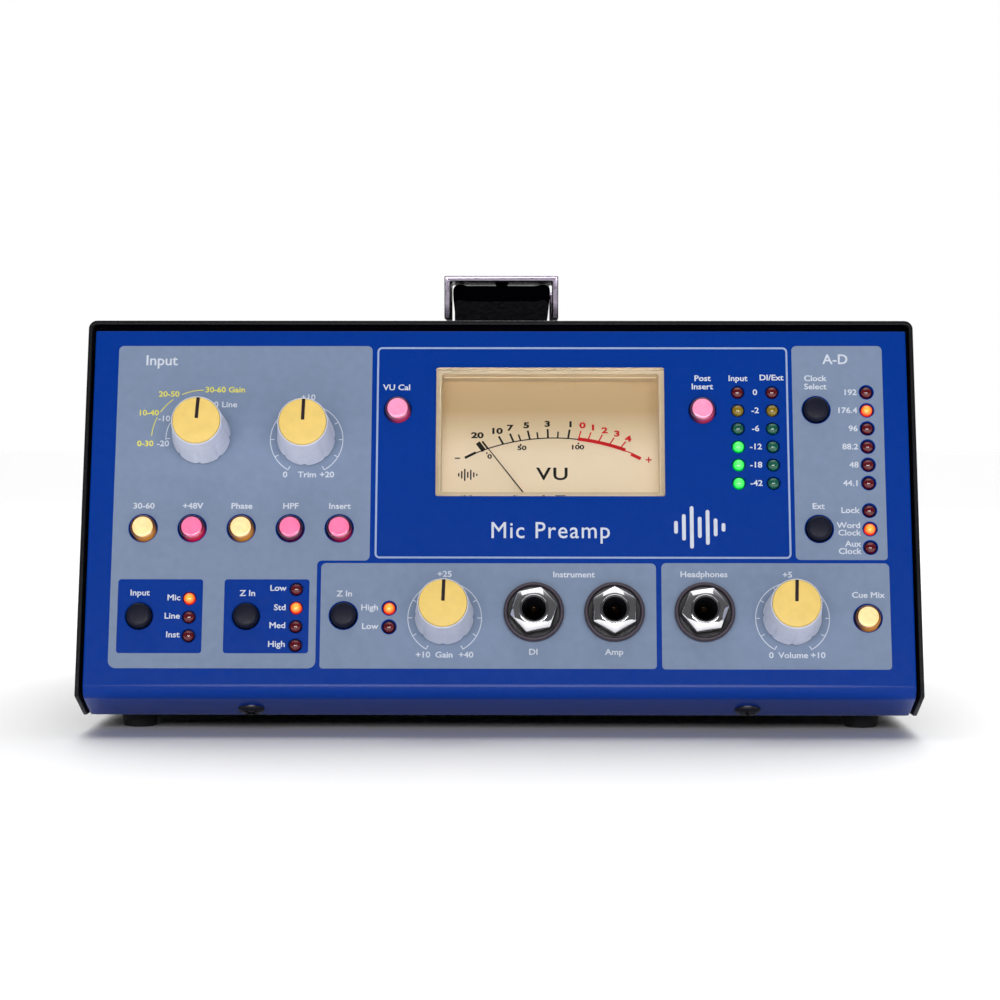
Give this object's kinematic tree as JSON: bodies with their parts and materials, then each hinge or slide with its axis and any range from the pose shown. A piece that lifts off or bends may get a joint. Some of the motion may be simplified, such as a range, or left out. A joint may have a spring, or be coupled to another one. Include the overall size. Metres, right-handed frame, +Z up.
{
  "type": "microphone preamp",
  "caption": "Desktop microphone preamp: a sloping control panel with knobs, push buttons, lamps, jack sockets and a needle meter in a steel case with a strap handle.",
  "frame": {"origin": "on the surface the feet stand on, under the middle of the overall box", "axes": "+Z up, the control panel faces -Y, +X to the right of someone facing the panel"},
  "size_m": [0.22, 0.2539, 0.1235],
  "materials": {
    "blue_paint": "fine satin powder coat",
    "black_paint": "fine textured powder coat",
    "nickel": "dark polished nickel plate",
    "chrome": "bright chrome plate",
    "steel": "plain steel",
    "rubber": "matt",
    "strap": "grained black vinyl over a sprung core",
    "knob_white": "satin moulded plastic",
    "knob_yellow": "satin moulded plastic",
    "button_pink": "translucent, lit from behind",
    "button_amber": "translucent, lit from behind",
    "black_plastic": "satin moulded plastic",
    "clear_window": "clear acrylic",
    "meter_card": "printed card, lit from behind",
    "circuit_board": "green solder mask with its parts soldered on",
    "transformer_tape": "copper winding under amber tape",
    "print_grey": "screen-printed grey ink",
    "print_white": "screen-printed white ink",
    "print_yellow": "screen-printed yellow ink",
    "print_black": "printed black ink",
    "print_red": "printed red ink",
    "lamp_red": "tinted indicator lens",
    "lamp_amber": "tinted indicator lens",
    "lamp_green": "tinted indicator lens",
    "gold": "gold-plated contacts"
  },
  "bodies": {
    "case": {"case_cover": "black_paint", "chassis_tray": "black_paint", "rear_panel": "black_paint", "front_panel": "blue_paint", "foot_front_left": "rubber", "foot_front_right": "rubber", "foot_rear_left": "rubber", "foot_rear_right": "rubber", "handle_cap_front": "nickel", "strap_end_front": "strap", "handle_cap_rear": "nickel", "strap_end_rear": "strap", "control_board": "circuit_board", "input_select_lamps": "black_plastic", "mic_impedance_lamps": "black_plastic", "instrument_impedance_lamps": "black_plastic", "level_lamps": "black_plastic", "converter_lamps": "black_plastic", "instrument_jack": "black_plastic", "instrument_jack_washer": "black_plastic", "instrument_jack_nut": "chrome", "amplifier_jack": "black_plastic", "amplifier_jack_washer": "black_plastic", "amplifier_jack_nut": "chrome", "headphone_jack": "black_plastic", "headphone_jack_washer": "black_plastic", "headphone_jack_nut": "chrome", "meter_housing": "black_plastic", "meter_dial": "meter_card", "meter_window": "clear_window", "main_board": "circuit_board", "mains_transformer": "transformer_tape", "input_transformer": "steel", "mic_input_socket": "black_plastic", "line_output_socket": "black_plastic", "mains_inlet": "black_plastic"},
    "input_gain_knob": {"input_gain_knob": "knob_white", "input_gain_knob_cap": "knob_yellow"},
    "trim_knob": {"trim_knob": "knob_white", "trim_knob_cap": "knob_yellow"},
    "instrument_gain_knob": {"instrument_gain_knob": "knob_white", "instrument_gain_knob_cap": "knob_yellow"},
    "headphone_volume_knob": {"headphone_volume_knob": "knob_white", "headphone_volume_knob_cap": "knob_yellow"},
    "gain_range_button": {"gain_range_button": "button_amber"},
    "phantom_power_button": {"phantom_power_button": "button_pink"},
    "phase_button": {"phase_button": "button_amber"},
    "high_pass_button": {"high_pass_button": "button_pink"},
    "insert_button": {"insert_button": "button_pink"},
    "meter_calibration_button": {"meter_calibration_button": "button_pink"},
    "post_insert_button": {"post_insert_button": "button_pink"},
    "cue_mix_button": {"cue_mix_button": "button_amber"},
    "input_select_button": {"input_select_button": "black_plastic"},
    "mic_impedance_button": {"mic_impedance_button": "black_plastic"},
    "instrument_impedance_button": {"instrument_impedance_button": "black_plastic"},
    "clock_select_button": {"clock_select_button": "black_plastic"},
    "external_clock_button": {"external_clock_button": "black_plastic"},
    "meter_needle": {"meter_needle": "black_plastic"},
    "power_rocker": {"power_rocker": "black_plastic"},
    "strap_grip": {"strap_grip": "strap"}
  },
  "joints": [
    {"name": "input_gain_turn", "type": "hinge", "parent": "case", "child": "input_gain_knob", "pos_m": [-0.0789, -0.10394, 0.08028], "axis": [0, -0.9563, 0.2924], "range_deg": [0, 90]},
    {"name": "trim_turn", "type": "hinge", "parent": "case", "child": "trim_knob", "pos_m": [-0.0512, -0.10405, 0.0799], "axis": [0, -0.9563, 0.2924], "range_deg": [-150, 150]},
    {"name": "instrument_gain_turn", "type": "hinge", "parent": "case", "child": "instrument_gain_knob", "pos_m": [-0.0143, -0.11821, 0.03361], "axis": [0, -0.9563, 0.2924], "range_deg": [-150, 150]},
    {"name": "headphone_volume_turn", "type": "hinge", "parent": "case", "child": "headphone_volume_knob", "pos_m": [0.0762, -0.11821, 0.03361], "axis": [0, -0.9563, 0.2924], "range_deg": [-150, 150]},
    {"name": "gain_range_press", "type": "slide", "parent": "case", "child": "gain_range_button", "axis": [0, 0.9563, -0.2924], "range_m": [0, 0.0012], "stiffness_N_per_m": 600},
    {"name": "phantom_power_press", "type": "slide", "parent": "case", "child": "phantom_power_button", "axis": [0, 0.9563, -0.2924], "range_m": [0, 0.0012], "stiffness_N_per_m": 600},
    {"name": "phase_press", "type": "slide", "parent": "case", "child": "phase_button", "axis": [0, 0.9563, -0.2924], "range_m": [0, 0.0012], "stiffness_N_per_m": 600},
    {"name": "high_pass_press", "type": "slide", "parent": "case", "child": "high_pass_button", "axis": [0, 0.9563, -0.2924], "range_m": [0, 0.0012], "stiffness_N_per_m": 600},
    {"name": "insert_press", "type": "slide", "parent": "case", "child": "insert_button", "axis": [0, 0.9563, -0.2924], "range_m": [0, 0.0012], "stiffness_N_per_m": 600},
    {"name": "meter_calibration_press", "type": "slide", "parent": "case", "child": "meter_calibration_button", "axis": [0, 0.9563, -0.2924], "range_m": [0, 0.0012], "stiffness_N_per_m": 600},
    {"name": "post_insert_press", "type": "slide", "parent": "case", "child": "post_insert_button", "axis": [0, 0.9563, -0.2924], "range_m": [0, 0.0012], "stiffness_N_per_m": 600},
    {"name": "cue_mix_press", "type": "slide", "parent": "case", "child": "cue_mix_button", "axis": [0, 0.9563, -0.2924], "range_m": [0, 0.0012], "stiffness_N_per_m": 600},
    {"name": "input_select_press", "type": "slide", "parent": "case", "child": "input_select_button", "axis": [0, 0.9563, -0.2924], "range_m": [0, 0.0012], "stiffness_N_per_m": 600},
    {"name": "mic_impedance_press", "type": "slide", "parent": "case", "child": "mic_impedance_button", "axis": [0, 0.9563, -0.2924], "range_m": [0, 0.0012], "stiffness_N_per_m": 600},
    {"name": "instrument_impedance_press", "type": "slide", "parent": "case", "child": "instrument_impedance_button", "axis": [0, 0.9563, -0.2924], "range_m": [0, 0.0012], "stiffness_N_per_m": 600},
    {"name": "clock_select_press", "type": "slide", "parent": "case", "child": "clock_select_button", "axis": [0, 0.9563, -0.2924], "range_m": [0, 0.0012], "stiffness_N_per_m": 600},
    {"name": "external_clock_press", "type": "slide", "parent": "case", "child": "external_clock_button", "axis": [0, 0.9563, -0.2924], "range_m": [0, 0.0012], "stiffness_N_per_m": 600},
    {"name": "needle_swing", "type": "hinge", "parent": "case", "child": "meter_needle", "pos_m": [0.0139, -0.09612, 0.05353], "axis": [0, 0.9563, -0.2924], "range_deg": [0, 76], "stiffness_Nm_per_rad": 0.0002, "springref_deg": -8.59},
    {"name": "power_rocker_tilt", "type": "hinge", "parent": "case", "child": "power_rocker", "pos_m": [-0.0885, 0.11685, 0.0445], "axis": [-1, 0, 0], "range_deg": [0, 14]},
    {"name": "handle_lift", "type": "slide", "parent": "case", "child": "strap_grip", "axis": [0, 0, 1], "range_m": [0, 0.015], "stiffness_N_per_m": 300, "deforming": ["strap_end_front", "strap_end_rear"]}
  ]
}
